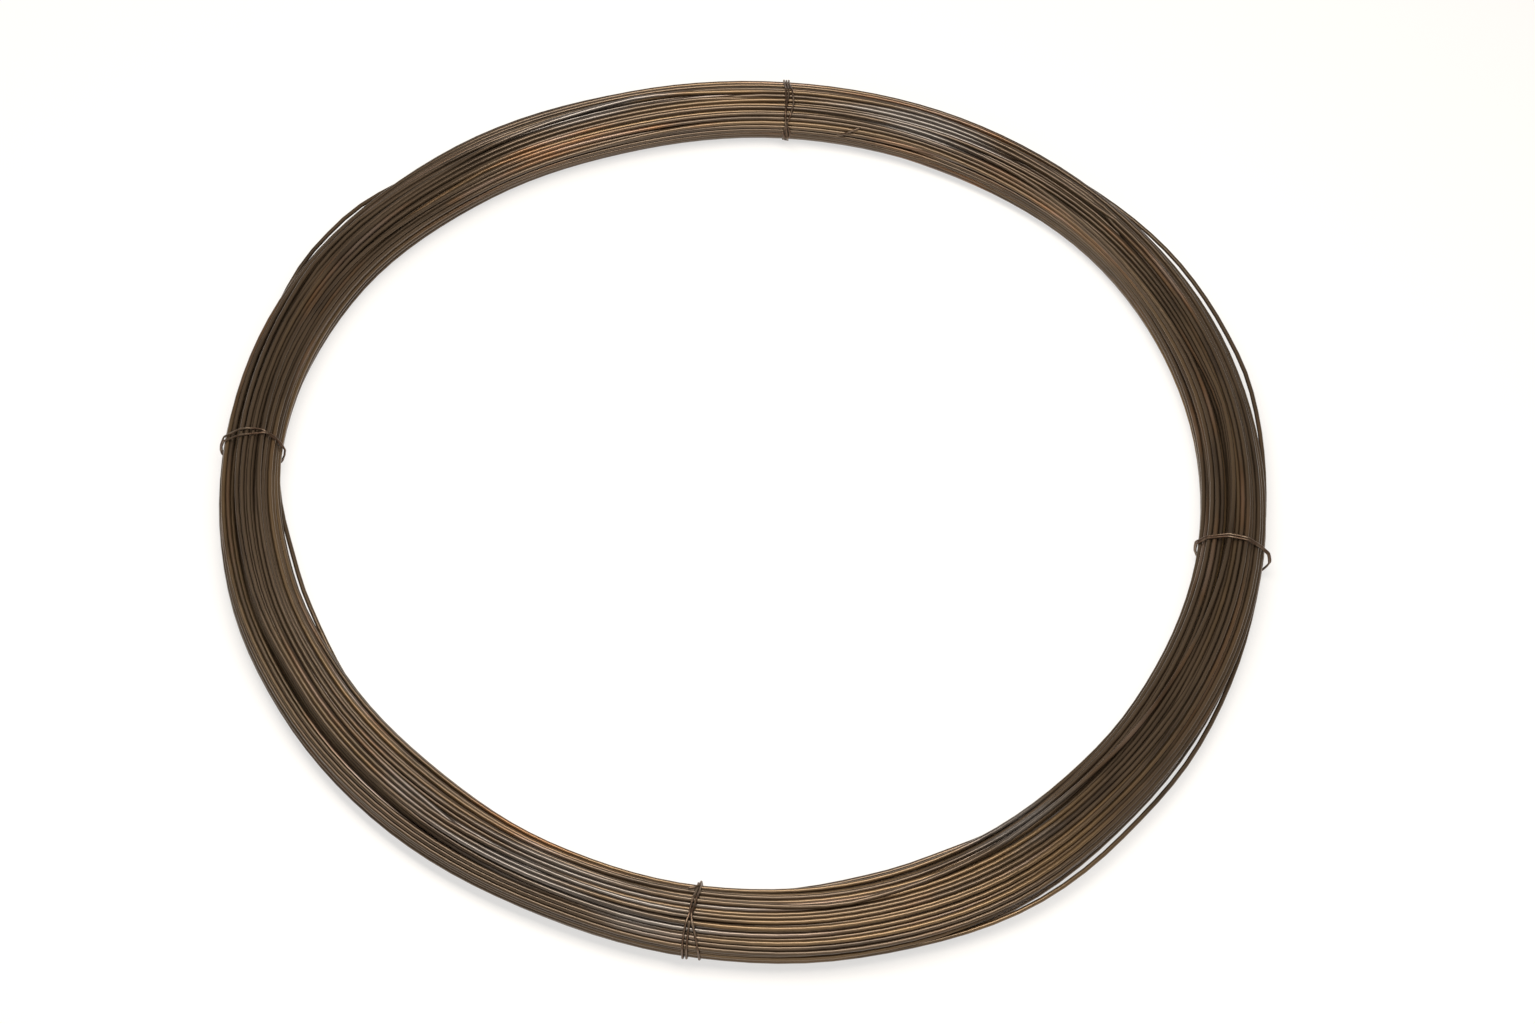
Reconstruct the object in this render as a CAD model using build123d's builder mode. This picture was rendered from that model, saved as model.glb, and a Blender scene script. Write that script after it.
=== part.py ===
"""Coil of dark annealed steel wire lying flat, held together by four doubled tie wires."""
import os
from math import copysign, cos, pi, radians, sin

from build123d import *

# Driving dimensions, mm and degrees
coil_bore = 436.0
coil_width = 32.0
coil_height = 24.0
wire_d = 2.0
quarter_turns = 7  # turns from the middle of the outer side to the middle of the top
base_turns = 3  # turns that have settled on the floor
roundness = 2.25  # 2 would be an ellipse, more is squarer
bore_wall = 8.0  # height over which the bore is straight
tie_d = 1.0
tie_gap = 0.15  # between a tie and the turns under it
pinch = 1.3  # how far a tie pulls the turns in
tie_places = {"front": -95.7, "back": 84.5, "left": 175.5, "right": -11.0}

# Sizes that follow
mid_radius = (coil_bore + coil_width) / 2
half_width = coil_width / 2
half_height = coil_height / 2
turn_angle = 90 / quarter_turns  # seen from the middle of the section
lowest_turn = -2  # counted from the middle of the outer side
last_turn = 2 * quarter_turns - 3  # the next one lies against the bore
groove_depth = 0.45 * wire_d  # valley between two turns, below their crowns
base_pitch = 2 * wire_d
land = base_pitch / 3  # strip on which a settled turn rests
shoulder_angle = 50  # below the middle, where the underside begins
wall_low = half_height - bore_wall / 2
wall_high = half_height + bore_wall / 2
strand_pitch = 1.2 * tie_d
slot_width = 2 * strand_pitch + 1.6 * tie_d
twist_runs = 8  # straight runs of each twisted strand, an eighth of a turn each
twist_run = 1.1 * tie_d
twist_r = 0.6 * tie_d

# The core is the bundle where a tie pinches it: an eight-sided section
core_half_width = half_width - pinch
core_low = pinch
core_high = coil_height - 2 * pinch
core_flat = 0.56 * half_width
corner_low = half_height * 0.73
corner_high = half_height * 1.27


def surface(angle, inset=0.0):
    """Section point (x from its middle, height) on the bundle's surface, set in by inset."""
    across, up = cos(radians(angle)), sin(radians(angle))
    x = copysign(abs(across) ** (2 / roundness), across) * (half_width - inset)
    z = copysign(abs(up) ** (2 / roundness), up) * (half_height - inset)
    return x, half_height + z


def coil_outline():
    """Section points (radius, height), anticlockwise from the lowest turn of the outer side."""
    points = []
    for half_turn in range(2 * lowest_turn - 1, 2 * last_turn + 2):
        inset = groove_depth if half_turn % 2 else 0
        points.append(surface(half_turn * turn_angle / 2, inset))
    points += [(-half_width, wall_high), (-half_width, wall_low), surface(180 + shoulder_angle)]
    first = -(base_turns - 1) * base_pitch / 2
    for turn in range(base_turns):
        x = first + turn * base_pitch
        if turn > 0:
            points.append((x - base_pitch / 2, groove_depth))
        points += [(x - land / 2, 0), (x + land / 2, 0)]
    points.append(surface(-shoulder_angle))
    return [(mid_radius + x, z) for x, z in points]


def core_outline(grow=0.0):
    """Corners of the pinched section, moved outwards by grow, from the inner end of its top."""
    side = core_half_width + grow
    low = core_low - grow
    high = core_high + grow
    slack = grow * 0.5
    flat = core_flat + slack
    return [
        (-flat, high),
        (flat, high),
        (side, corner_high + slack),
        (side, corner_low - slack),
        (flat, low),
        (-flat, low),
        (-side, corner_low - slack),
        (-side, corner_high + slack),
    ]


def tie_path():
    """Middle line of a tie at angle 0: folded at the bore, doubled round the bundle, twisted on top."""
    lift = tie_gap + tie_d / 2
    _, top_out, *rest = core_outline(lift)
    offset = strand_pitch / 2
    twist_foot = top_out[1]
    strands = []
    for side in (1, -1):
        strand = []
        for k in range(twist_runs, -1, -1):
            turn = side * pi / 2 + k * pi / 4
            height = twist_foot + twist_r * (1 + cos(turn))
            strand.append((-k * twist_run, twist_r * sin(turn), height))
        strand += [(x, side * offset, z) for x, z in (top_out, *rest)]
        strands.append(strand)
    there, back = strands
    return [Vector(mid_radius + x, y, z) for x, y, z in there + back[::-1]]


with BuildPart() as wire_coil:
    with BuildSketch(Plane.XZ):
        with BuildLine():
            Polyline(*coil_outline(), close=True)
        make_face()
    revolve(axis=Axis.Z)
    with BuildPart(mode=Mode.PRIVATE) as slot:
        with BuildSketch(Plane.XZ):
            with Locations((mid_radius, half_height)):
                Rectangle(2 * coil_width, 2 * coil_height)
            with BuildLine():
                Polyline(*[(mid_radius + x, z) for x, z in core_outline()], close=True)
            make_face(mode=Mode.SUBTRACT)
        extrude(amount=slot_width / 2, both=True)
    for angle in tie_places.values():
        add(slot.part.rotate(Axis.Z, angle), mode=Mode.SUBTRACT)
wire_coil.part.label = "wire_coil"

with BuildPart() as tie:
    path = tie_path()
    with BuildLine() as middle:
        Polyline(*path)
    with BuildSketch(Plane(path[0], z_dir=path[1] - path[0])):
        RegularPolygon(tie_d / 2, 8)
    sweep(path=middle.wires()[0], transition=Transition.RIGHT)

os.makedirs("parts", exist_ok=True)
export_step(wire_coil.part, "parts/wire_coil.step")
for name, angle in tie_places.items():
    placed = tie.part.rotate(Axis.Z, angle)
    placed.label = "tie_" + name
    export_step(placed, f"parts/tie_{name}.step")
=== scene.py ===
"""Coil of dark annealed steel wire: its laid turns, its four ties and the studio floor it lies on."""

import logging
import math
from dataclasses import dataclass, field
from enum import Enum
from typing import Any

import bpy
import numpy as np
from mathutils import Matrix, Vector


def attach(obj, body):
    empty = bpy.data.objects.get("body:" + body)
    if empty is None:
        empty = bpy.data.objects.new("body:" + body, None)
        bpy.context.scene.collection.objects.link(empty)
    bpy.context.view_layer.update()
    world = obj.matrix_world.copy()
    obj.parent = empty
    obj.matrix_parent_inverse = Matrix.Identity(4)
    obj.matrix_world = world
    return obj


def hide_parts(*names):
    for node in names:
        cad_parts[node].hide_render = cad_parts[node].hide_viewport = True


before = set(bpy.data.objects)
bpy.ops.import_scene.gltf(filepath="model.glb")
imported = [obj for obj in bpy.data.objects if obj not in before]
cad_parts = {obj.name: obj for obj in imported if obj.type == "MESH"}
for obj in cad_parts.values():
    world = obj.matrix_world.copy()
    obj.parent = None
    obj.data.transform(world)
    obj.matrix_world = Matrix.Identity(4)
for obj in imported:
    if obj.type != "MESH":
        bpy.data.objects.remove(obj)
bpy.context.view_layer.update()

log = logging.getLogger("coil")

MM = 0.001
BODY = "root"
PHOTO_SIZE = (1535, 1024)
ROUNDNESS = 2.25  # of the bundle's section, where 2 is an ellipse and more is squarer


class Slot(Enum):
    """Material slots of the record."""

    WIRE = "wire"
    TIE = "tie_wire"


class Side(Enum):
    """Which edge of the bundle a loose turn leaves."""

    OUTER = 1.0
    INNER = -1.0


# Shader maths


class Term:
    """An output socket that takes part in Python arithmetic, adding Math nodes to its tree."""

    def __init__(self, bench: "Bench", socket: bpy.types.NodeSocket) -> None:
        """Keeps the socket and the bench that its nodes are added to."""
        self.bench = bench
        self.socket = socket

    def _maths(self, operation: str, first: Any, second: Any) -> "Term":
        """Adds one Math node on terms or numbers, and gives back its value."""
        return self.bench.term("ShaderNodeMath", {"operation": operation}, {0: first, 1: second})

    def __add__(self, other: Any) -> "Term":
        """Sum."""
        return self._maths("ADD", self, other)

    def __radd__(self, other: Any) -> "Term":
        """Sum, number first."""
        return self._maths("ADD", other, self)

    def __sub__(self, other: Any) -> "Term":
        """Difference."""
        return self._maths("SUBTRACT", self, other)

    def __rsub__(self, other: Any) -> "Term":
        """Difference, number first."""
        return self._maths("SUBTRACT", other, self)

    def __mul__(self, other: Any) -> "Term":
        """Product."""
        return self._maths("MULTIPLY", self, other)

    def __rmul__(self, other: Any) -> "Term":
        """Product, number first."""
        return self._maths("MULTIPLY", other, self)


class Bench:
    """Adds nodes to one node tree."""

    def __init__(self, tree: bpy.types.NodeTree) -> None:
        """Empties the tree."""
        self.tree = tree
        tree.nodes.clear()

    def node(self, kind: str, settings: dict | None = None, sockets: dict | None = None) -> bpy.types.Node:
        """Adds a node.

        Args:
            kind: The node's type.
            settings: Properties, set first.
            sockets: Input name or number to a value, a term or a socket.

        Returns:
            The new node.
        """
        made = self.tree.nodes.new(kind)
        for name, value in (settings or {}).items():
            setattr(made, name, value)
        for name, value in (sockets or {}).items():
            value = value.socket if isinstance(value, Term) else value
            if isinstance(value, bpy.types.NodeSocket):
                self.tree.links.new(value, made.inputs[name])
            else:
                made.inputs[name].default_value = value
        return made

    def term(
        self, kind: str, settings: dict | None = None, sockets: dict | None = None, output: Any = 0
    ) -> Term:
        """Adds a node, as node does, and wraps one of its outputs, by name or number."""
        return Term(self, self.node(kind, settings, sockets).outputs[output])

    def stored(self, name: str) -> Term:
        """Number that the mesh stores under a name."""
        return self.term("ShaderNodeAttribute", {"attribute_name": name}, output="Fac")

    def blend(self, share: Any, first: Any, second: Any) -> Term:
        """Mixes two colours, with this share of the second."""
        settings = {"data_type": "RGBA", "blend_type": "MIX"}
        return self.term("ShaderNodeMix", settings, {0: share, 6: first, 7: second}, 2)

    def noise(
        self, at: Term, waves: float, detail: float = 3.0, rough: float = 0.55, flat: bool = False
    ) -> Term:
        """Noise about 0.5, at a vector in space or, if flat, at a length of wire, in waves to the metre."""
        values = {"W" if flat else "Vector": at, "Scale": waves, "Detail": detail, "Roughness": rough}
        return self.term("ShaderNodeTexNoise", {"noise_dimensions": "1D" if flat else "3D"}, values)

    def ramp(self, value: Any, low: tuple[float, float], high: tuple[float, float]) -> Term:
        """Maps a value along a straight slope from one value and result to another, flat beyond both."""
        ends = zip(("From Min", "To Min", "From Max", "To Max"), low + high)
        return self.term("ShaderNodeMapRange", {"clamp": True}, {"Value": value, **dict(ends)})


def rgb(red: float, green: float, blue: float) -> tuple[float, float, float, float]:
    """Linear colour with full alpha."""
    return (red, green, blue, 1.0)


# Finishes


@dataclass(frozen=True)
class Finish:
    """A named material. Each finish adds its own shader."""

    name: str

    def make(self) -> bpy.types.Material:
        """Builds the material.

        Returns:
            The material.
        """
        made = bpy.data.materials.new(self.name)
        made.use_nodes = True
        bench = Bench(made.node_tree)
        bench.node("ShaderNodeOutputMaterial", sockets={"Surface": self.shader(bench).outputs[0]})
        return made

    def shader(self, bench: Bench) -> bpy.types.Node:
        """Adds the nodes of the finish, and gives back the last of them."""
        raise NotImplementedError


class Temper(Enum):
    """Temper colours that the anneal left on the wire."""

    STRAW = "straw"
    COPPER = "copper"
    BLUE = "blue"


@dataclass(frozen=True)
class TemperPatch:
    """A stretch of the coil with one temper colour.

    Angle and reach are degrees. Place and breadth across the bundle run from -1 at the bore to 1.
    """

    tint: Temper
    angle: float
    reach: float
    strength: float = 1.0
    across: float = 0.0
    breadth: float = 3.0


@dataclass(frozen=True)
class Onset:
    """How a temper colour sets in, by a weighted sum of its patches, noise along the wire and clouds."""

    patches: float
    noise: float
    begins: float
    full: float
    most: float
    clouds: float = 0.0

    def share(self, bench: Bench, patches: Term, noise: Term, clouds: Term) -> Term:
        """How much of the colour the wire took: none where the sum begins, and most where it is full."""
        total = patches * self.patches + noise * self.noise + clouds * self.clouds
        return bench.ramp(total, (self.begins, 0.0), (self.full, self.most))


@dataclass(frozen=True)
class AnnealedFinish(Finish):
    """Wire that was annealed in air: brown scale, with straw, copper and blue-grey temper colours.

    Waves are counted to the metre. Each slope is a noise and the share that it gives, at both its ends.
    """

    scale_brown: tuple = rgb(0.096, 0.065, 0.040)
    straw: tuple = rgb(0.178, 0.112, 0.054)
    copper: tuple = rgb(0.190, 0.091, 0.036)
    blue_grey: tuple = rgb(0.172, 0.152, 0.136)
    soot: tuple = rgb(0.036, 0.025, 0.017)
    bare: tuple = rgb(0.34, 0.28, 0.21)
    straw_onset: Onset = Onset(0.40, 1.6, 0.91, 1.31, 0.9)
    copper_onset: Onset = Onset(0.42, 1.9, 1.16, 1.48, 0.8)
    blue_onset: Onset = Onset(0.50, 1.5, 1.16, 1.44, 0.9, 0.3)
    soot_slope: tuple = ((0.30, 0.55), (0.48, 0.0))
    wear_slope: tuple = ((0.70, 0.0), (0.78, 0.5))
    wear_specks: float = 0.8
    drift_waves: float = 2.6
    tint_waves: float = 7.0
    streak_waves: float = 11.0
    cloud_waves: float = 22.0
    speck_waves: float = 420.0
    metal: float = 0.62
    blue_metal: float = 0.05
    gloss: float = 0.6
    roughness: float = 0.13
    streak_haze: float = 0.14
    cloud_haze: float = 0.06
    blue_polish: float = 0.06

    def shader(self, bench: Bench) -> bpy.types.Node:
        """Adds the nodes of the finish.

        Args:
            bench: Bench of the material.

        Returns:
            The shader.
        """
        place = bench.term("ShaderNodeTexCoord", output="Object")
        along = bench.stored("along")
        drift = bench.noise(along, self.drift_waves, detail=2.0, flat=True)
        tints = bench.noise(along, self.tint_waves, detail=2.0, flat=True)
        streaks = bench.noise(along, self.streak_waves, rough=0.6, flat=True)
        clouds = bench.noise(place, self.cloud_waves, detail=2.0)
        specks = bench.noise(place, self.speck_waves, rough=0.75)

        masks = {tint: bench.stored(tint.value) for tint in Temper}
        strawed = self.straw_onset.share(bench, masks[Temper.STRAW], drift, clouds)
        coppered = self.copper_onset.share(bench, masks[Temper.COPPER], tints, clouds)
        blued = self.blue_onset.share(bench, masks[Temper.BLUE], tints, clouds)
        sooty = bench.ramp(streaks, *self.soot_slope)
        worn = bench.ramp(specks * self.wear_specks + streaks * (1.0 - self.wear_specks), *self.wear_slope)

        colour = bench.blend(strawed, self.scale_brown, self.straw)
        colour = bench.blend(coppered, colour, self.copper)
        colour = bench.blend(blued, colour, self.blue_grey)
        colour = bench.blend(sooty, colour, self.soot)
        colour = bench.blend(worn, colour, self.bare)
        haze = streaks * self.streak_haze + clouds * self.cloud_haze - blued * self.blue_polish
        return bench.node(
            "ShaderNodeBsdfPrincipled",
            sockets={
                "Base Color": colour,
                "Metallic": self.metal + blued * self.blue_metal,
                "Roughness": self.roughness + haze,
                "Specular IOR Level": self.gloss,
            },
        )


@dataclass(frozen=True)
class TieFinish(Finish):
    """Thin dark tie wire with light spots here and there: partly rubbed wear, partly painted highlight
    spots.
    """

    name: str = "tie_wire_dark"
    brown: tuple = rgb(0.100, 0.060, 0.038)
    # light colour of the spots, partly rubbed wear and partly painted highlight
    rubbed_and_glint: tuple = rgb(0.240, 0.180, 0.130)
    rub_and_glint_slope: tuple = ((0.45, 0.0), (0.70, 1.0))
    cloud_waves: float = 160.0
    metal: float = 0.8
    roughness: float = 0.27
    cloud_haze: float = 0.1

    def shader(self, bench: Bench) -> bpy.types.Node:
        """Adds the nodes of the finish.

        Args:
            bench: Bench of the material.

        Returns:
            The shader.
        """
        place = bench.term("ShaderNodeTexCoord", output="Object")
        clouds = bench.noise(place, self.cloud_waves)
        return bench.node(
            "ShaderNodeBsdfPrincipled",
            sockets={
                # noise scatters the light spots: partly rubbed wear, partly painted highlight spots
                "Base Color": bench.blend(bench.ramp(clouds, *self.rub_and_glint_slope), self.brown, self.rubbed_and_glint),
                "Metallic": self.metal,
                "Roughness": self.roughness + clouds * self.cloud_haze,
            },
        )


@dataclass(frozen=True)
class FloorFinish(Finish):
    """Plain matt floor, lifted towards white where it is seen, so that only the shadow shows."""

    name: str = "studio_floor_white"
    white: tuple = rgb(0.95, 0.915, 0.875)
    glow: tuple = rgb(1.0, 1.0, 1.0)
    lift: float = 0.6
    roughness: float = 0.9

    def shader(self, bench: Bench) -> bpy.types.Node:
        """Adds the nodes of the finish.

        Args:
            bench: Bench of the material.

        Returns:
            The shader.
        """
        rays = bench.node("ShaderNodeLightPath")
        camera, glossy, through = (
            Term(bench, rays.outputs[f"Is {kind} Ray"]) for kind in ("Camera", "Glossy", "Transmission")
        )
        matt = bench.node(
            "ShaderNodeBsdfPrincipled", sockets={"Base Color": self.white, "Roughness": self.roughness}
        )
        glow = bench.node("ShaderNodeEmission", sockets={"Color": self.glow, "Strength": 1.0})
        share = (camera + glossy + through) * self.lift
        return bench.node("ShaderNodeMixShader", sockets={0: share, 1: matt.outputs[0], 2: glow.outputs[0]})


# Rows of numbers


def eased(share: np.ndarray) -> np.ndarray:
    """Turns an even run from 0 to 1 into one that starts and ends gently."""
    return share * share * (3.0 - 2.0 * share)


def bell(reach: int, spread: float) -> np.ndarray:
    """Bell-shaped weights that add up to 1, with so many on each side of the middle."""
    weights = np.exp(-0.5 * (np.arange(-reach, reach + 1) / spread) ** 2)
    return weights / weights.sum()


def smoothed(values: np.ndarray, weights: np.ndarray) -> np.ndarray:
    """Running mean of a row, with its ends held."""
    return np.convolve(np.pad(values, len(weights) // 2, mode="edge"), weights, "valid")


def degrees_off(angle: np.ndarray, place: float) -> np.ndarray:
    """Degrees from a place to each angle, -180 to 180."""
    return (angle - place + 180.0) % 360.0 - 180.0


# Meshes


@dataclass
class Tube:
    """Round wire drawn along a line of points."""

    points: np.ndarray
    radius: float
    sides: int = 10
    up: tuple[float, float, float] = (0.0, 0.0, 1.0)

    def rings(self) -> np.ndarray:
        """Places a ring of points square to the line at each of its points.

        Returns:
            Array of rings, sides and coordinates.
        """
        ahead = np.gradient(self.points, axis=0)
        ahead /= np.linalg.norm(ahead, axis=1, keepdims=True)
        first = self._carried(ahead)
        second = np.cross(ahead, first)
        angle = np.linspace(0.0, 2.0 * math.pi, self.sides, endpoint=False)
        across, over = np.cos(angle)[None, :, None], np.sin(angle)[None, :, None]
        return self.points[:, None] + self.radius * (across * first[:, None] + over * second[:, None])

    def _carried(self, ahead: np.ndarray) -> np.ndarray:
        """Carries one side direction along the line without twisting it.

        Args:
            ahead: Direction of the line at each point.

        Returns:
            A unit direction square to the line at each point.
        """
        side = np.empty_like(ahead)
        held = np.array(self.up)
        for k, way in enumerate(ahead):
            held = held - way * held.dot(way)
            held /= np.linalg.norm(held)
            side[k] = held
        return side

    def faces(self) -> list[tuple[int, ...]]:
        """Joins neighbouring rings, and closes both ends.

        Returns:
            Vertex numbers of each face.
        """
        count, sides = len(self.points), self.sides
        last = (count - 1) * sides
        quads = []
        for ring in range(0, last, sides):
            for side in range(sides):
                beside = (side + 1) % sides
                quads.append((ring + side, ring + beside, ring + sides + beside, ring + sides + side))
        return quads + [tuple(range(sides))[::-1], tuple(range(last, last + sides))]


# The coil


@dataclass(frozen=True)
class Waist:
    """Section of the bundle at one angle, in millimetres, shifted outwards from the middle radius."""

    angle: float
    width: float
    height: float
    shift: float = 0.0
    roundness: float = ROUNDNESS


@dataclass(frozen=True)
class LooseTurn:
    """A stretch where one turn stands off the bundle.

    Start and end are degrees, gap and height millimetres, and ease the share over which it leaves.
    """

    side: Side
    start: float
    end: float
    gap: float
    height: float
    ease: float = 0.42


@dataclass(frozen=True)
class Trench:
    """A gap between strands of turns.

    Each place is an angle in degrees, a place across the bundle from -1 at the bore to 1, and half of the
    gap's breadth at the top, as a share of half the bundle's width.
    """

    places: tuple[tuple[float, float, float], ...]
    foot: float = 0.1


@dataclass(frozen=True)
class Ride:
    """A turn that rides over its neighbours, from one place across the bundle to another.

    Degrees where it lies on top, places from -1 at the bore to 1, and degrees over which it rises and sinks.
    """

    start: float
    end: float
    across_from: float
    across_to: float
    rise: float = 14.0
    sink: float = 34.0
    bend_reach: int = 6
    bend_spread: float = 2.0
    off: float = 0.8  # wire diameters sideways by which it has left its own place
    on_top: float = 0.99  # share of the way from which it lies on top
    depth_count: float = 2.0  # how depth counts against distance when its turn is chosen

    def course(self, gone: np.ndarray) -> tuple[np.ndarray, np.ndarray]:
        """How the turn lies along its ride.

        Args:
            gone: Degrees from the point where it begins to rise.

        Returns:
            How far it has left its own place, 0 to 1, and its aim across the bundle.
        """
        down = self.rise + (self.end - self.start)
        share = eased(np.interp(gone, [0.0, self.rise, down, down + self.sink], [0.0, 1.0, 1.0, 0.0]))
        return share, np.interp(gone, [self.rise, down], [self.across_from, self.across_to])


@dataclass(frozen=True)
class Rim:
    """Tight line round the turns at one angle, as distances from the middle of the section."""

    middle: np.ndarray
    wraps: np.ndarray
    radii: np.ndarray

    def spots(self, wrap: np.ndarray, lift: np.ndarray) -> np.ndarray:
        """Places on the line, or off it.

        Args:
            wrap: Degrees round the section, 0 outwards and 90 up.
            lift: Distance off the line.

        Returns:
            Outward offset and height of each place.
        """
        radius = np.interp(wrap, self.wraps, self.radii, period=360.0) + lift
        way = np.radians(wrap)
        return self.middle + radius[:, None] * np.stack([np.cos(way), np.sin(way)], axis=1)


@dataclass(frozen=True)
class Settling:
    """How the laid turns come to rest, round by round. Shares are shares of the way that is left to go."""

    rounds: int = 320
    hold: float = 0.04  # share of the way to the place first laid, away from the ties
    sag: float = 0.020 * MM
    gather: float = 0.10  # share of the way back into the section
    tied_gather: float = 0.7  # what a tie adds to it
    stiffness: float = 0.5  # share of the way to a smooth run
    bend_reach: int = 6
    bend_spread: float = 2.2
    push: float = 0.3  # share of an overlap that a round clears
    push_gain: float = 0.2  # what the last rounds add to it
    least: float = 1e-7  # metres between two points, so that nothing is divided by 0
    part: float = 0.5  # share of the way out of a trench
    near: float = 1.9  # wire diameters within which turns are neighbours
    near_every: int = 8
    stretch: float = 0.6  # share of the way to the full width
    stretch_every: int = 30
    stretch_first: int = 10


@dataclass
class TurnLay:
    """Path of the one long wire: its turns gather in loose strands, and are pinched where they are tied."""

    turns: int = 120
    stations: int = 132
    wire_d: float = 2.25 * MM
    mid_radius: float = 234.0 * MM
    tie_d: float = 1.0 * MM
    tie_angles: tuple[float, ...] = (-95.7, -11.0, 84.5, 175.5)
    tie_grip: float = 6.0  # degrees over which a tie holds the turns
    tie_lift: float = 9.0  # over which it lifts them off the floor
    tie_slack: float = 13.0  # over which it keeps them from straying
    looseness: float = 0.02  # room that a turn keeps round it, in wire diameters
    unevenness: tuple[float, float] = (0.4, 1.6)  # times that, from turn to turn
    wander: float = 0.05  # how far a strand strays, in half sections
    wander_waves: int = 5
    near_step: float = 0.24  # how far the wire mostly goes from turn to turn, in half sections
    change_place: tuple[float, float] = (0.4, 1.6)  # in turns, where it goes
    change_span: tuple[float, float] = (0.22, 0.7)  # in turns, how long it takes
    hollow: float = 0.04  # how much thinner the turns lie in the middle
    grid_reach: int = 12
    grid_area: float = 3.3  # of a section of half sizes 1
    rim_step: float = 2.0  # degrees
    rim_parts: int = 6
    seed: int = 11
    settling: Settling = Settling()
    strands: tuple[tuple[float, float], ...] = (
        (-0.80, 0.05), (-0.50, 0.60), (-0.05, 0.80), (0.42, 0.66), (0.80, 0.10),
        (-0.40, -0.45), (0.05, -0.70), (0.45, -0.45), (0.00, 0.10),
    )  # where they lie, in half sections
    waists: tuple[Waist, ...] = (
        Waist(-165, 31.5, 25, -0.4), Waist(-150, 34, 22.5, -4.5), Waist(-132, 36, 21, -6.8),
        Waist(-113, 31.5, 22, -5.3), Waist(-95.7, 32.5, 22.5, 0), Waist(-80, 34.5, 22, 2.9),
        Waist(-63, 37.5, 20.5, 3.6), Waist(-45, 33, 20.5, -0.8), Waist(-28, 32.5, 22.5, -2),
        Waist(-11, 31, 25.5, -2.1, 2), Waist(15, 30, 24, -1.4), Waist(40, 28, 23, 0.2),
        Waist(62, 31, 23, -1.4), Waist(84.5, 30, 24, -3), Waist(105, 34, 23, -3),
        Waist(126, 35, 22, 1.4), Waist(148, 30, 24.5, 4.9), Waist(175.5, 27.5, 28.5, 3.2, 1.8),
    )
    loose: tuple[LooseTurn, ...] = (
        LooseTurn(Side.OUTER, -7, 54, 2.3, 13),
        LooseTurn(Side.OUTER, -76, -15, 1.3, 9),
        LooseTurn(Side.OUTER, 129, 160, 0, 16),
        LooseTurn(Side.INNER, 178, 212, 0.5, 13),
        LooseTurn(Side.INNER, -90, -56, 0.6, 9),
    )
    trenches: tuple[Trench, ...] = (
        Trench((
            (-188, 0.42, 0), (-178, 0.42, 0.09), (-164, 0.45, 0.12), (-150, 0.48, 0.17),
            (-142, 0.56, 0.20), (-131, 0.62, 0.15), (-116, 0.70, 0),
        )),
        Trench((
            (-20, -0.22, 0), (-12, -0.21, 0.11), (-1, -0.20, 0.16), (9, -0.16, 0.19), (20, -0.42, 0.19),
            (29, -0.62, 0.16), (39, -0.70, 0.12), (50, -0.76, 0),
        )),
        Trench(((112, -0.70, 0), (125, -0.60, 0.12), (140, -0.70, 0))),
        Trench(((140, 0.50, 0), (150, 0.45, 0.13), (162, 0.25, 0.12), (174, 0.15, 0))),
    )
    rides: tuple[Ride, ...] = (Ride(-80, -58, -0.20, -0.50), Ride(104, 130, 0.30, 0.05))
    path: np.ndarray = field(init=False)

    def __post_init__(self) -> None:
        """Lays the turns and lets them settle."""
        self.angle = np.tile(np.arange(self.stations) * 360.0 / self.stations, self.turns)
        sizes = np.stack([self._around("width"), self._around("height")], axis=1) * MM
        self.half = (sizes - self.wire_d) / 2
        self.centre = np.stack([self._around("shift") * MM, sizes[:, 1] / 2], axis=1)
        self.roundness = self._around("roundness")
        self.tied = self._near_ties(self.tie_grip)
        self.floor = self.wire_d / 2 + self.tie_d * self._near_ties(self.tie_lift)
        self.rng = np.random.default_rng(self.seed)
        self.spot = self._first_lay()
        self._settle()
        self._let_out()
        self._ride_over()
        self.path = self.in_space(self.spot, np.radians(self.angle))

    def _around(self, name: str) -> np.ndarray:
        """One size of the section at each point of the wire, eased from place to place.

        Args:
            name: Field of Waist.

        Returns:
            The size at each point.
        """
        places = sorted(self.waists, key=lambda waist: waist.angle % 360.0)
        angles = np.array([waist.angle % 360.0 for waist in places])
        angles = np.concatenate([angles, angles[:1] + 360.0])
        sizes = np.array([getattr(waist, name) for waist in places])
        sizes = np.concatenate([sizes, sizes[:1]])
        turned = (self.angle - angles[0]) % 360.0 + angles[0]
        k = np.clip(np.searchsorted(angles, turned, side="right") - 1, 0, len(places) - 1)
        share = eased((turned - angles[k]) / (angles[k + 1] - angles[k]))
        return sizes[k] + (sizes[k + 1] - sizes[k]) * share

    def _near_ties(self, reach: float) -> np.ndarray:
        """How near each point of the wire is to a tie, 1 at the tie and fading over this many degrees."""
        off = np.min([np.abs(degrees_off(self.angle, angle)) for angle in self.tie_angles], axis=0)
        return np.exp(-((off / reach) ** 2))

    def _slots(self) -> np.ndarray:
        """Evenly spread places for the turns, in a section of half sizes 1.

        Returns:
            One place for each turn.
        """
        pitch = math.sqrt(2.0 / math.sqrt(3.0) * self.grid_area / self.turns)
        rise = pitch * math.sqrt(3.0) / 2.0
        rows = np.arange(-self.grid_reach, self.grid_reach + 1)
        grid = np.array([((place + 0.5 * (row % 2)) * pitch, row * rise) for row in rows for place in rows])
        size = (np.abs(grid) ** ROUNDNESS).sum(axis=1)
        kept = grid[np.argsort(size, kind="stable")[: self.turns]]
        kept = kept / np.abs(kept).max(axis=0)
        away = (np.abs(kept) ** ROUNDNESS).sum(axis=1, keepdims=True) ** (1.0 / ROUNDNESS)
        away = np.maximum(away, 0.05)  # the middle place would be nowhere
        return kept * np.sqrt(self.hollow / away**2 + 1.0 - self.hollow)

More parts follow.
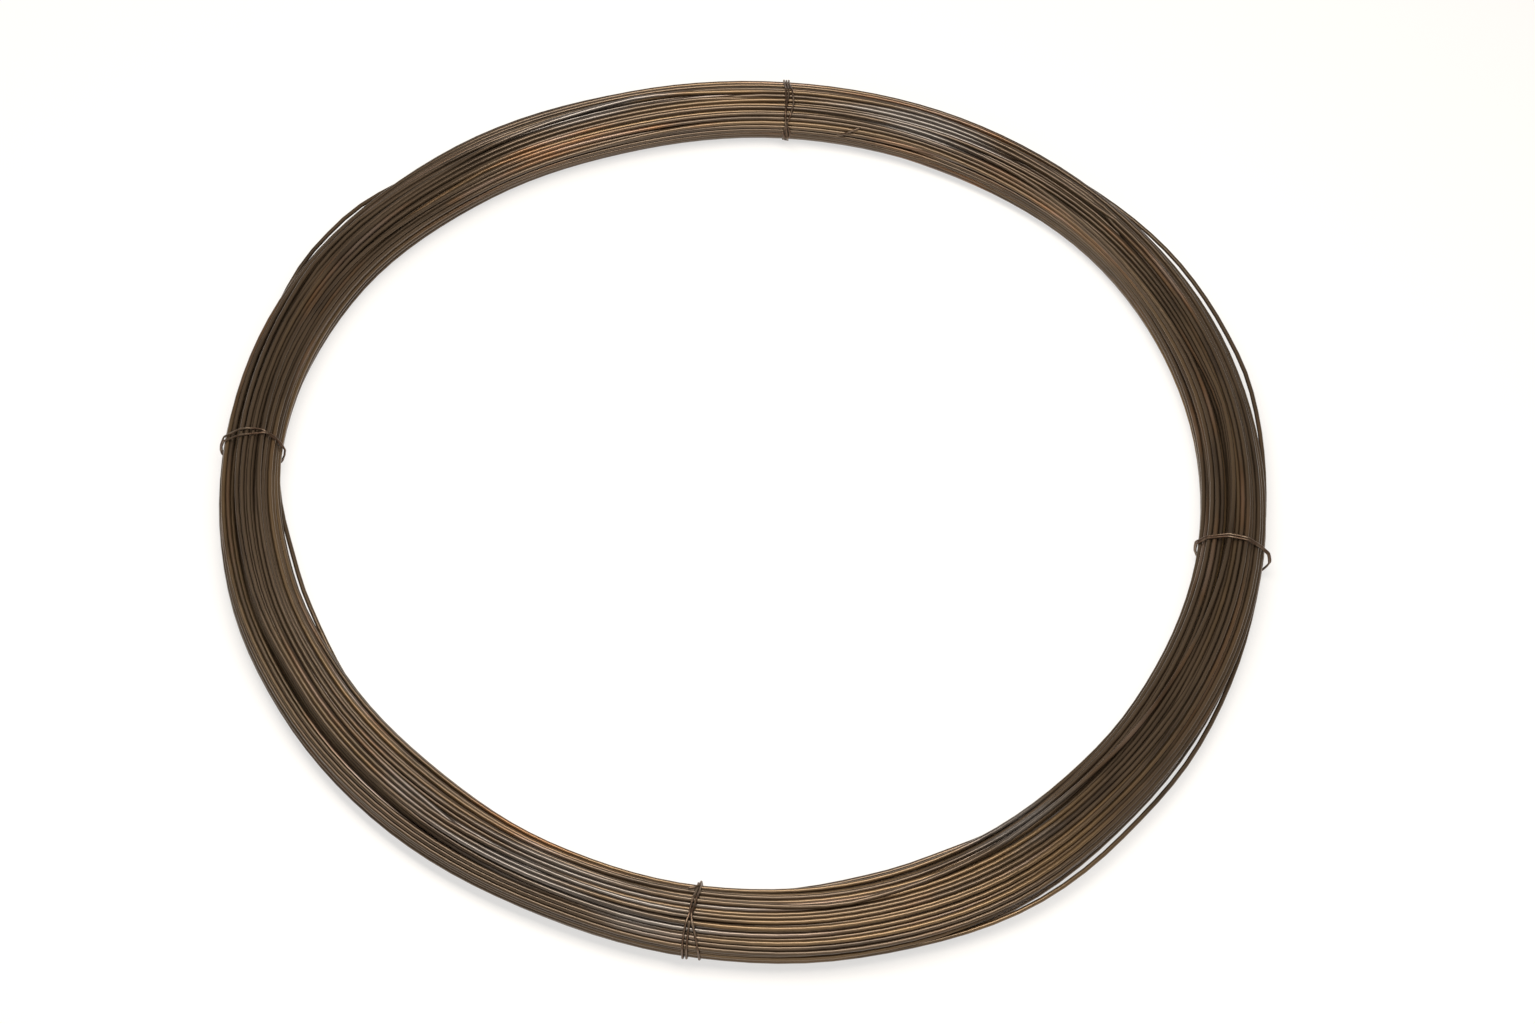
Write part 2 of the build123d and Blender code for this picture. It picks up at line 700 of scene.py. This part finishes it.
    def _order(self, slots: np.ndarray) -> np.ndarray:
        """Order in which the wire visits its places, mostly from one to a near one, both ends hidden.

        Args:
            slots: The places.

        Returns:
            Numbers of the places, in order.
        """
        order = [int(np.argmin(slots[:, 1]))]
        last = int(np.argmin(np.linalg.norm(slots, axis=1)))
        free = np.ones(len(slots), bool)
        free[[order[0], last]] = False
        while free.any():
            away = np.linalg.norm(slots - slots[order[-1]], axis=1)
            chance = np.where(free, np.exp(-away / self.near_step), 0.0)
            if chance.sum() < 1e-9:  # none is near
                chance = free.astype(float)
            order.append(int(self.rng.choice(len(slots), p=chance / chance.sum())))
            free[order[-1]] = False
        return np.array(order + [last])

    def _wanderings(self) -> np.ndarray:
        """How far each loose strand strays sideways and up at each station, and not at all at a tie.

        Returns:
            Array of stations, strands and the two ways.
        """
        way = np.radians(self.angle[: self.stations])[:, None, None]
        stray = np.zeros((self.stations, len(self.strands), 2))
        for wave in range(1, self.wander_waves + 1):
            reach = self.rng.normal(0.0, 1.0 / math.sqrt(wave), (1, len(self.strands), 2))
            stray += reach * np.cos(wave * way + self.rng.uniform(0.0, 2.0 * math.pi, reach.shape))
        slack = 1.0 - self._near_ties(self.tie_slack)[: self.stations]
        return self.wander * slack[:, None, None] * stray

    def _first_lay(self) -> np.ndarray:
        """Lays the wire in its places, drifting from each to the next somewhere along the turn.

        Returns:
            Outward offset and height of each point of the wire.
        """
        slots = self._slots()
        apart = np.linalg.norm(slots[:, None] - np.array(self.strands)[None], axis=2)
        order = self._order(slots)
        stops = slots[order]
        stray = self._wanderings()[:, apart.argmin(axis=1)[order]]
        at = np.arange(self.turns * self.stations) / self.stations
        middle = np.arange(self.turns - 1) + self.rng.uniform(*self.change_place, self.turns - 1)
        span = self.rng.uniform(*self.change_span, self.turns - 1)
        share = eased(np.clip((at[:, None] - middle) / span + 0.5, 0.0, 1.0))
        spot = stops[0] + share @ np.diff(stops, axis=0)
        table = share.reshape(self.turns, self.stations, -1)
        strays = stray[:, 0] + np.einsum("tsi,sia->tsa", table, np.diff(stray, axis=1))
        return self.centre + (spot + strays.reshape(-1, 2)) * self.half

    def _open(self) -> None:
        """Pushes turns out of the trenches, which are widest at the top, each turn to one side."""
        for trench in self.trenches:
            angles, across, gaps = np.array(trench.places).T
            turned = (self.angle - angles[0]) % 360.0 + angles[0]
            near = np.flatnonzero(turned < angles[-1])
            turned = turned[near]
            passing = np.cumsum(np.diff(near, prepend=near[0]) > 1)
            place = (self.spot[near] - self.centre[near]) / self.half[near]
            beside = place[:, 0] - np.interp(turned, angles, across)
            depth = np.clip((place[:, 1] - trench.foot) / (1.0 - trench.foot), 0.0, 1.0)
            reach = np.interp(turned, angles, gaps) * depth
            side = np.where(np.bincount(passing, reach * beside) < 0.0, -1.0, 1.0)[passing]
            push = np.clip(reach - side * beside, 0.0, 2.0 * reach) * side
            self.spot[near, 0] += self.settling.part * push * self.half[near, 0]

    def _near_pairs(self, reach: float) -> tuple[np.ndarray, np.ndarray]:
        """Finds points of different turns that lie side by side.

        Args:
            reach: Greatest distance.

        Returns:
            Numbers of the points of each pair.
        """
        at = self.spot.reshape(self.turns, self.stations, 2).transpose(1, 0, 2).astype(np.float32)
        apart = at[:, :, None] - at[:, None]
        near = np.triu((apart**2).sum(axis=3) < reach * reach, 1)
        station, first, second = np.nonzero(near)
        return first * self.stations + station, second * self.stations + station

    def _size(self) -> np.ndarray:
        """How far out each point lies in the section, 1 on its skin."""
        return (np.abs((self.spot - self.centre) / self.half) ** self.roundness[:, None]).sum(axis=1)

    def _settle(self) -> None:
        """Pushes crossing turns apart, straightens the wire and gathers the bundle, many times over."""
        way, spot = self.settling, self.spot
        target = spot.copy()
        room = np.repeat(self.looseness * self.rng.uniform(*self.unevenness, self.turns), self.stations)
        bend = bell(way.bend_reach, way.bend_spread)
        hold = (way.hold * (1.0 - self.tied))[:, None]
        for step in range(way.rounds):
            if step % way.stretch_every == way.stretch_first:
                target[:, 0] += self._stretch()
            if step % way.near_every == 0:
                first, second = self._near_pairs(way.near * self.wire_d)
                skin = np.minimum(self._size(), 1.0) * room
                contact = self.wire_d + self.wire_d * (skin[first] + skin[second]) / 2
            spot += hold * (target - spot)
            spot[:, 1] -= way.sag
            size = np.maximum(self._size(), 1.0)
            pull = (1.0 - size ** (-1.0 / self.roundness)) * (way.gather + way.tied_gather * self.tied)
            spot -= (spot - self.centre) * pull[:, None]
            for axis in (0, 1):
                spot[:, axis] += way.stiffness * (smoothed(spot[:, axis], bend) - spot[:, axis])
            gap = spot[first] - spot[second]
            apart = np.maximum(np.linalg.norm(gap, axis=1), way.least)
            share = way.push + way.push_gain * step / way.rounds
            push = gap * (np.maximum(contact - apart, 0.0) / apart * share)[:, None]
            for axis in (0, 1):
                spot[:, axis] += np.bincount(first, push[:, axis], len(spot))
                spot[:, axis] -= np.bincount(second, push[:, axis], len(spot))
            self._open()
            spot[:, 1] = np.maximum(spot[:, 1], self.floor)

    def _stretch(self) -> np.ndarray:
        """How far each point moves so that the bundle grows to its widths.

        Returns:
            Outward move of each point.
        """
        at = self.spot[:, 0].reshape(self.turns, self.stations)
        ranked = np.sort(at, axis=0)
        low, high = ranked[1], ranked[-2]
        middle, half = self.centre[: self.stations, 0], self.half[: self.stations, 0]
        share = (at - low) / (high - low)
        inner, outer = middle - half - low, middle + half - high
        return self.settling.stretch * (inner * (1.0 - share) + outer * share).ravel()

    def _steps(self, degrees: float) -> int:
        """Number of stations in an angle."""
        return round(degrees / 360.0 * self.stations)

    def _let_out(self) -> None:
        """Moves the loose turns off the bundle, each the outermost or innermost where it stands off."""
        taken: set[int] = set()
        for loose in self.loose:
            run = np.arange(self._steps(loose.start), self._steps(loose.end) + 1)
            inside = np.linspace(0.0, 1.0, len(run))
            share = eased(np.clip(np.minimum(inside, 1.0 - inside) / loose.ease, 0.0, 1.0))
            turns = np.arange(1, self.turns - 1)
            out = loose.side.value * self.spot[turns[:, None] * self.stations + run, 0]
            order = turns[np.argsort(-(out * share).sum(axis=1))]
            turn = next(int(t) for t in order if int(t) not in taken)
            taken.add(turn)
            here = turn * self.stations + run
            aim = np.full((len(run), 2), loose.height * MM)
            aim[:, 0] = loose.side.value * (out.max(axis=0) + loose.gap * MM + self.wire_d)
            self.spot[here] += (aim - self.spot[here]) * share[:, None]

    def _ride_over(self) -> None:
        """Lays the riding turns on top of the turns that they cross."""
        taken: set[int] = set()
        for ride in self.rides:
            weights = bell(ride.bend_reach, ride.bend_spread)
            first = self._steps((ride.start - ride.rise) % 360.0)
            turn = self._rider(ride, (first + self._steps(ride.rise)) % self.stations, taken)
            taken.update((turn - 1, turn, turn + 1))
            steps = np.arange(self._steps(ride.end - ride.start + ride.rise + ride.sink))
            here = turn * self.stations + first + steps
            share, aim = ride.course(steps / self.stations * 360.0)
            own = self.spot[here]
            side = own[:, 0] + share * (self.centre[here, 0] + aim * self.half[here, 0] - own[:, 0])
            rest = smoothed(np.maximum(self._over(here, side), own[:, 1]), weights)
            moved = np.clip(np.abs(side - own[:, 0]) / (ride.off * self.wire_d), 0.0, 1.0)
            moved = smoothed(np.where(share > ride.on_top, 1.0, moved), weights)
            self.spot[here, 0] = side
            self.spot[here, 1] = own[:, 1] + moved * (rest - own[:, 1])

    def _rider(self, ride: Ride, at: int, taken: set[int]) -> int:
        """Finds a turn that lies high up and near the place where a ride starts.

        Args:
            ride: The ride.
            at: Station where it starts.
            taken: Turns that may not ride.

        Returns:
            Number of the turn.
        """
        table = self.spot.reshape(self.turns, self.stations, 2)
        across = (table[:, at, 0] - self.centre[at, 0]) / self.half[at, 0]
        depth = (table[:, at, 1].max() - table[:, at, 1]) / self.half[at, 1]
        order = np.argsort(np.abs(across - ride.across_from) + ride.depth_count * depth)
        return next(int(turn) for turn in order if turn not in taken and 1 < turn < self.turns - 2)

    def _over(self, here: np.ndarray, side: np.ndarray) -> np.ndarray:
        """Height at which a stretch of wire lies on top of all other turns.

        Args:
            here: Numbers of its points.
            side: Offset of each of them.

        Returns:
            Height of each point, 0 where nothing lies below.
        """
        others = self.spot.reshape(self.turns, self.stations, 2)[:, here % self.stations]
        others[here // self.stations, np.arange(len(here)), 1] = 0.0
        reach = np.abs(others[:, :, 0] - side)
        room = np.sqrt(np.maximum(self.wire_d**2 - reach**2, 0.0))
        return np.where(reach < self.wire_d, others[:, :, 1] + room, 0.0).max(axis=0)

    def in_space(self, spot: np.ndarray, way: np.ndarray) -> np.ndarray:
        """Turns offsets and heights at angles in radians into points round the coil."""
        radius = self.mid_radius + spot[:, 0]
        return np.stack([radius * np.cos(way), radius * np.sin(way), spot[:, 1]], axis=1)

    def rim(self, angle: float, clear: float) -> Rim:
        """Tight line round the turns at one angle.

        Args:
            angle: Degrees round the coil.
            clear: Distance that the line keeps from the turns.

        Returns:
            The line.
        """
        near = self.spot[np.abs(degrees_off(self.angle, angle)) < 360.0 / self.stations]
        way = np.radians(np.arange(0.0, 360.0, self.rim_step))
        out = np.stack([np.cos(way), np.sin(way)], axis=1)
        line = near[(near @ out.T).argmax(axis=0)] + (self.wire_d / 2 + clear) * out
        steps = np.linspace(0.0, 1.0, self.rim_parts, endpoint=False)[None, :, None]
        line = (line[:, None] + steps * (np.roll(line, -1, axis=0) - line)[:, None]).reshape(-1, 2)
        middle = (line.max(axis=0) + line.min(axis=0)) / 2
        arm = line - middle
        wraps = np.degrees(np.arctan2(arm[:, 1], arm[:, 0])) % 360.0
        return Rim(middle, wraps, np.linalg.norm(arm, axis=1))

    def temper(self, tint: Temper, patches: tuple[TemperPatch, ...]) -> np.ndarray:
        """How strongly each point of the wire took one temper colour.

        Args:
            tint: The colour.
            patches: All patches of the coil.

        Returns:
            Strength at each point.
        """
        across = (self.spot[:, 0] - self.centre[:, 0]) / self.half[:, 0]
        total = np.zeros(len(across))
        for patch in patches:
            if patch.tint is tint:
                along = degrees_off(self.angle, patch.angle) / patch.reach
                beside = (across - patch.across) / patch.breadth
                total = np.maximum(total, patch.strength * np.exp(-(along**2 + beside**2)))
        return total


@dataclass
class WireCoil:
    """The long wire as mesh tubes, in runs of whole turns that follow on from each other."""

    lay: TurnLay
    runs: int = 2
    sides: int = 10
    map_name: str = "OFBake"
    map_margin: float = 0.06
    patches: tuple[TemperPatch, ...] = tuple(
        TemperPatch(tint, *place)
        for tint, places in (
            (Temper.BLUE, ((-112, 19, 1.35, 0.1, 0.7), (65, 13, 1.35, -0.1, 0.7),
                            (110, 10, 0.9, 0.3, 0.6), (-57, 7, 1, -0.5, 0.7))),
            (Temper.STRAW, ((-76, 22, 0.9, 0, 2), (-118, 22, 1.6, -0.9, 0.45),
                             (-60, 12, 1.3, 0.2, 0.8), (85, 18, 0.8, 0, 2))),
            (Temper.COPPER, ((64, 16, 1, 0.6, 0.25), (60, 14, 0.8, -0.9, 0.3),
                              (110, 14, 0.7, -0.6, 0.4), (-121, 14, 1.25, -0.9, 0.4))),
        )
        for place in places
    )

    def build(self, finish: AnnealedFinish) -> list[bpy.types.Object]:
        """Makes the runs and dresses them.

        Args:
            finish: The wire's finish.

        Returns:
            The pieces.
        """
        material = finish.make()
        values = {tint.value: self.lay.temper(tint, self.patches) for tint in Temper}
        step = 2.0 * math.pi * self.lay.mid_radius / self.lay.stations
        values["along"] = np.arange(len(self.lay.path)) * step
        share = np.linspace(0, self.lay.turns, self.runs + 1).round().astype(int) * self.lay.stations
        pieces = []
        for number, (first, last) in enumerate(zip(share[:-1], share[1:]), start=1):
            here = slice(int(first), int(last) + 1)
            tube = Tube(self.lay.path[here], self.lay.wire_d / 2, self.sides)
            piece = mesh_piece(f"wire_run_{number}", tube.rings().reshape(-1, 3), tube.faces())
            for name, value in values.items():
                point_values(piece, name, np.repeat(value[here], self.sides))
            self._lay_map(piece, len(tube.points))
            dress(piece, material, "wire_coil")
            pieces.append(piece)
        return pieces

    def _lay_map(self, piece: bpy.types.Object, count: int) -> None:
        """Lays the run's skin out in strips of half a turn.

        Args:
            piece: The run.
            count: Rings along it.
        """
        strip = self.lay.stations // 2
        rows = math.ceil((count - 1) / strip)
        ring = np.repeat(np.arange(count - 1), self.sides)
        side = np.tile(np.arange(self.sides), count - 1)
        row = ring // strip
        left = (ring - row * strip) / strip
        right = left + 1.0 / strip
        depth = (1.0 - 2.0 * self.map_margin) / self.sides
        low = (row + self.map_margin + depth * side) / rows
        high = low + depth / rows
        corners = np.stack([left, low, left, high, right, high, right, low], axis=1)
        flat = np.concatenate([corners.reshape(-1, 2), np.zeros((2 * self.sides, 2))]).astype(np.float32)
        piece.data.uv_layers.new(name=self.map_name).data.foreach_set("uv", flat.ravel())


# The ties


@dataclass(frozen=True)
class Bend:
    """A point of a tie: degrees round the bundle, and millimetres along the coil and off its turns."""

    wrap: float
    along: float
    lift: float = 0.0


@dataclass(frozen=True)
class TieWire:
    """Thin wire wound round the bundle, one length from end to end."""

    name: str
    node: str
    angle: float
    bends: tuple[Bend, ...]
    wire_d: float = 1.0 * MM
    step: float = 0.5 * MM
    bend_reach: int = 8
    bend_spread: float = 2.6
    mean_arm: float = 13.5  # millimetres from the middle of the section to the tie
    sides: int = 8

    def build(self, lay: TurnLay, material: bpy.types.Material) -> bpy.types.Object:
        """Makes the tie and dresses it.

        Args:
            lay: The turns that it holds.
            material: Its material.

        Returns:
            The piece.
        """
        tube = Tube(self._line(lay), self.wire_d / 2, self.sides)
        piece = mesh_piece(self.name, tube.rings().reshape(-1, 3), tube.faces())
        dress(piece, material, self.node)
        return piece

    def _line(self, lay: TurnLay) -> np.ndarray:
        """Middle line of the tie.

        Args:
            lay: The turns that it holds.

        Returns:
            Points in metres.
        """
        keys = np.array([(bend.wrap, bend.along, bend.lift) for bend in self.bends])
        arc = math.radians(1.0) * self.mean_arm
        moves = np.linalg.norm(np.diff(keys, axis=0) * (arc, 1.0, 1.0), axis=1)
        length = np.concatenate([[0.0], np.cumsum(moves)])
        at = np.arange(0.0, length[-1], self.step / MM)
        weights = bell(self.bend_reach, self.bend_spread)
        wrap, along, lift = (smoothed(np.interp(at, length, key), weights) for key in keys.T)
        rim = lay.rim(self.angle, self.wire_d / 2)
        way = math.radians(self.angle) + along * MM / lay.mid_radius
        spot = rim.spots(wrap, lift * MM)
        spot[:, 1] = np.maximum(spot[:, 1], self.wire_d / 2)
        return lay.in_space(spot, way)


def tie_wires() -> list[TieWire]:
    """The four ties and the tucked tail of the back one.

    Returns:
        The ties.
    """
    front = (
        (62, -2.5), (40, -2.7, 0.1), (10, -2.9), (-34, -2.9), (-90, -2), (-150, -1), (-214, -0.9),
        (-240, -2), (-260, -2.8), (-285, -2.9), (-300, -3.9), (-320, -4.5), (-350, -4.6),
        (-394, -4.4), (-450, -2), (-510, 0), (-574, 0.3), (-600, -0.5), (-620, -1.1),
        (-645, -2.2, 0.9), (-660, -1.4, 0.6), (-680, 0.1, 0.2), (-710, 2.1), (-754, 2.6), (-810, 1.5),
        (-870, 0.8), (-925, 0.3, 0.9), (-935, -1.5, 1), (-938, -3.4, 0.9), (-937, -5.9, 0.4),
    )
    back = (
        (170, 2.4, 1.3), (182, 1.6, 1.6), (189, 0, 1.6), (186, -1.5, 1.2), (178, -2.2, 0.6),
        (166, -1, 0.9), (156, 0.6, 0.9), (148, 1.6, 0.3), (138, 1.1, 0.1), (110, 1.5), (90, 1.9),
        (60, 2.6), (34, 4, 0.3), (10, 4), (-90, 2), (-150, 0.5), (-160, 1.5, 0.5),
        (-175, 2, 0.4), (-192, 1.4, 0.2), (-203, 0, 0.2), (-212, -1, 0.4), (-224, -1.9),
        (-245, -2.6), (-262, -2.2), (-285, -0.8), (-326, 1.6, 0.4), (-350, 1.6), (-450, 0.5),
        (-500, 0), (-520, -0.6, 0.6), (-540, -0.2, 1.5), (-560, 0.6, 1.5), (-575, 1, 1.3),
        (-590, 1.2, 1.2), (-605, 1.1, 1), (-620, 0.5, 0.3), (-640, 0.7), (-660, 1.3),
        (-686, 2.8, 0.2), (-710, 2.8), (-810, 3.3), (-860, 2.5),
    )
    left = (
        (215, 0.8, 0.6), (195, -0.6, 0.5), (175, 0.2, 0.5), (155, -1.5, 0.8), (140, -1.4, 0.3),
        (125, -2.4), (105, -4), (80, -4.2), (60, -3.9), (35, -2.6, 0.4), (10, -0.6, 0.9),
        (-10, 0.8, 1), (-30, 0.6, 0.6), (-90, 0), (-150, 0), (-165, 0.6, 0.4), (-185, -0.5, 0.4),
        (-205, -0.6, 0.1), (-220, -2.2, 0.7), (-235, -2.4, 0.7), (-250, -1.3, 0.2), (-280, -0.7),
        (-300, -0.5), (-325, -0.2), (-350, 0.3, 0.4), (-375, 0.2, 0.3), (-450, 1.5), (-500, 1),
    )
    right = (
        (205, -1, 0.5), (190, 0.8, 0.8), (172, 1.2, 0.9), (158, 1.2, 0.3), (140, 1.5), (110, 2),
        (80, 2), (50, 1.5, 0.2), (25, 0.8, 0.8), (8, 0.2, 2.2), (-10, -0.8, 2.8), (-28, -2.5, 1.6),
        (-45, -3, 0.2), (-90, -1), (-150, -0.5), (-165, 0, 0.3), (-185, 0.2, 0.1), (-215, 0.4),
        (-250, 0.6), (-280, 0.6), (-310, 0.4, 0.2), (-335, 0.2, 0.6), (-352, -0.5, 1.6),
        (-370, -2, 2.2), (-388, -3.2, 1.2), (-405, -3.6, 0.1), (-450, -2), (-500, -1),
    )
    tail = ((178, 8, -2.4), (169, 4.5, -0.2), (158, -0.5, 0.2), (147, -6, -0.2))
    places = {
        "tie_front": ("tie_front", -95.7, front),
        "tie_back": ("tie_back", 83.9, back),
        "tie_left": ("tie_left", 175.5, left),
        "tie_right": ("tie_right", -11.0, right),
        "tie_back_tail": ("tie_back", 75.4, tail),
    }
    return [
        TieWire(f"{name}_wire", node, angle, tuple(Bend(*bend) for bend in bends))
        for name, (node, angle, bends) in places.items()
    ]


def dress(piece: bpy.types.Object, material: bpy.types.Material, node: str) -> None:
    """Gives a piece its material and its body, and hides the CAD node that it stands for.

    Args:
        piece: The piece.
        material: Its material.
        node: The node.
    """
    piece.data.materials.append(material)
    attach(piece, BODY)
    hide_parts(node)


def mesh_piece(name: str, points: np.ndarray, faces: list[tuple[int, ...]]) -> bpy.types.Object:
    """Makes a smooth-shaded mesh object.

    Args:
        name: Its name.
        points: Vertices.
        faces: Vertex numbers of each face.

    Returns:
        The object, in the scene.
    """
    mesh = bpy.data.meshes.new(name)
    mesh.from_pydata(points.tolist(), [], faces)
    mesh.polygons.foreach_set("use_smooth", np.ones(len(mesh.polygons), bool))
    mesh.update()
    piece = bpy.data.objects.new(name, mesh)
    bpy.context.scene.collection.objects.link(piece)
    return piece


def point_values(piece: bpy.types.Object, name: str, values: np.ndarray) -> None:
    """Stores one number for each vertex of a mesh object, under a name."""
    layer = piece.data.attributes.new(name, "FLOAT", "POINT")
    layer.data.foreach_set("value", values.astype(np.float32))


# The studio


@dataclass(frozen=True)
class Lamp:
    """A soft lamp aimed at the coil."""

    name: str
    place: tuple[float, float, float]
    length: float
    width: float
    power: float
    tint: tuple[float, float, float] = (1.0, 0.96, 0.90)

    def hang(self) -> None:
        """Adds the lamp to the scene."""
        lamp = bpy.data.lights.new(self.name, "AREA")
        lamp.shape = "ELLIPSE"
        lamp.size = self.length
        lamp.size_y = self.width
        lamp.energy = self.power
        lamp.color = self.tint
        hung = bpy.data.objects.new(self.name, lamp)
        hung.location = self.place
        hung.rotation_euler = Vector(self.place).to_track_quat("Z", "Y").to_euler()
        bpy.context.scene.collection.objects.link(hung)


@dataclass
class Studio:
    """White floor, soft lamps overhead and in front, a dim room and the camera of the photograph."""

    floor_size: float = 8.0
    lamps: tuple[Lamp, ...] = (
        Lamp("overhead", (-0.02, -0.03, 1.0), 1.35, 0.46, 13.5),
        Lamp("front_fill", (0.0, -1.9, 1.5), 2.6, 1.2, 11.0),
    )
    sky: float = 0.29
    sky_tint: tuple = rgb(1.0, 0.94, 0.86)
    camera_elevation: float = 56.0
    camera_distance: float = 1.5625
    focal_px: float = 3272.0
    sensor: float = 36.0
    coil_middle_px: tuple[float, float] = (746.0, 479.5)
    coil_middle: tuple[float, float, float] = (0.0, 0.0, 0.012)

    def build(self) -> None:
        """Makes the floor, the lamps, the sky and the camera."""
        self._floor()
        for lamp in self.lamps:
            lamp.hang()
        self._sky()
        self._camera()
        bpy.context.scene.view_settings.view_transform = "Standard"

    def _floor(self) -> None:
        """Lays the floor."""
        half = self.floor_size / 2
        corners = np.array([(-half, -half, 0.0), (half, -half, 0.0), (half, half, 0.0), (-half, half, 0.0)])
        floor = mesh_piece("studio_floor", corners, [(0, 1, 2, 3)])
        floor.data.materials.append(FloorFinish().make())

    def _sky(self) -> None:
        """Sets the dim light of the room."""
        world = bpy.data.worlds.new("studio_room")
        world.use_nodes = True
        bench = Bench(world.node_tree)
        shine = bench.node("ShaderNodeBackground", sockets={"Color": self.sky_tint, "Strength": self.sky})
        bench.node("ShaderNodeOutputWorld", sockets={"Surface": shine.outputs[0]})
        bpy.context.scene.world = world

    def _camera(self) -> None:
        """Sets the camera so that the coil's middle falls where it does in the photograph."""
        rise = math.radians(self.camera_elevation)
        ahead = Vector((0.0, math.cos(rise), -math.sin(rise)))
        right = Vector((1.0, 0.0, 0.0))
        up = right.cross(ahead)
        middle = Vector(self.coil_middle)
        place = middle - ahead * self.camera_distance
        across = (PHOTO_SIZE[0] / 2 - self.coil_middle_px[0]) / self.focal_px * self.camera_distance
        down = (PHOTO_SIZE[1] / 2 - self.coil_middle_px[1]) / self.focal_px * self.camera_distance
        aim = middle + right * across - up * down
        lens = bpy.data.cameras.new("photo_camera")
        lens.sensor_width = self.sensor
        lens.lens = self.sensor * self.focal_px / PHOTO_SIZE[0]
        camera = bpy.data.objects.new("photo_camera", lens)
        camera.location = place
        camera.rotation_euler = (aim - place).to_track_quat("-Z", "Y").to_euler()
        bpy.context.scene.collection.objects.link(camera)
        bpy.context.scene.camera = camera


def main() -> None:
    """Builds the coil, its ties and the studio, in that order."""
    logging.basicConfig(level=logging.INFO)
    lay = TurnLay()
    pieces = WireCoil(lay).build(AnnealedFinish("wire_annealed_brown"))
    tie_material = TieFinish().make()
    pieces += [tie.build(lay, tie_material) for tie in tie_wires()]
    for piece in pieces:
        log.info("%s: %d faces", piece.name, len(piece.data.polygons))
    Studio().build()


if __name__ == "__main__":
    main()
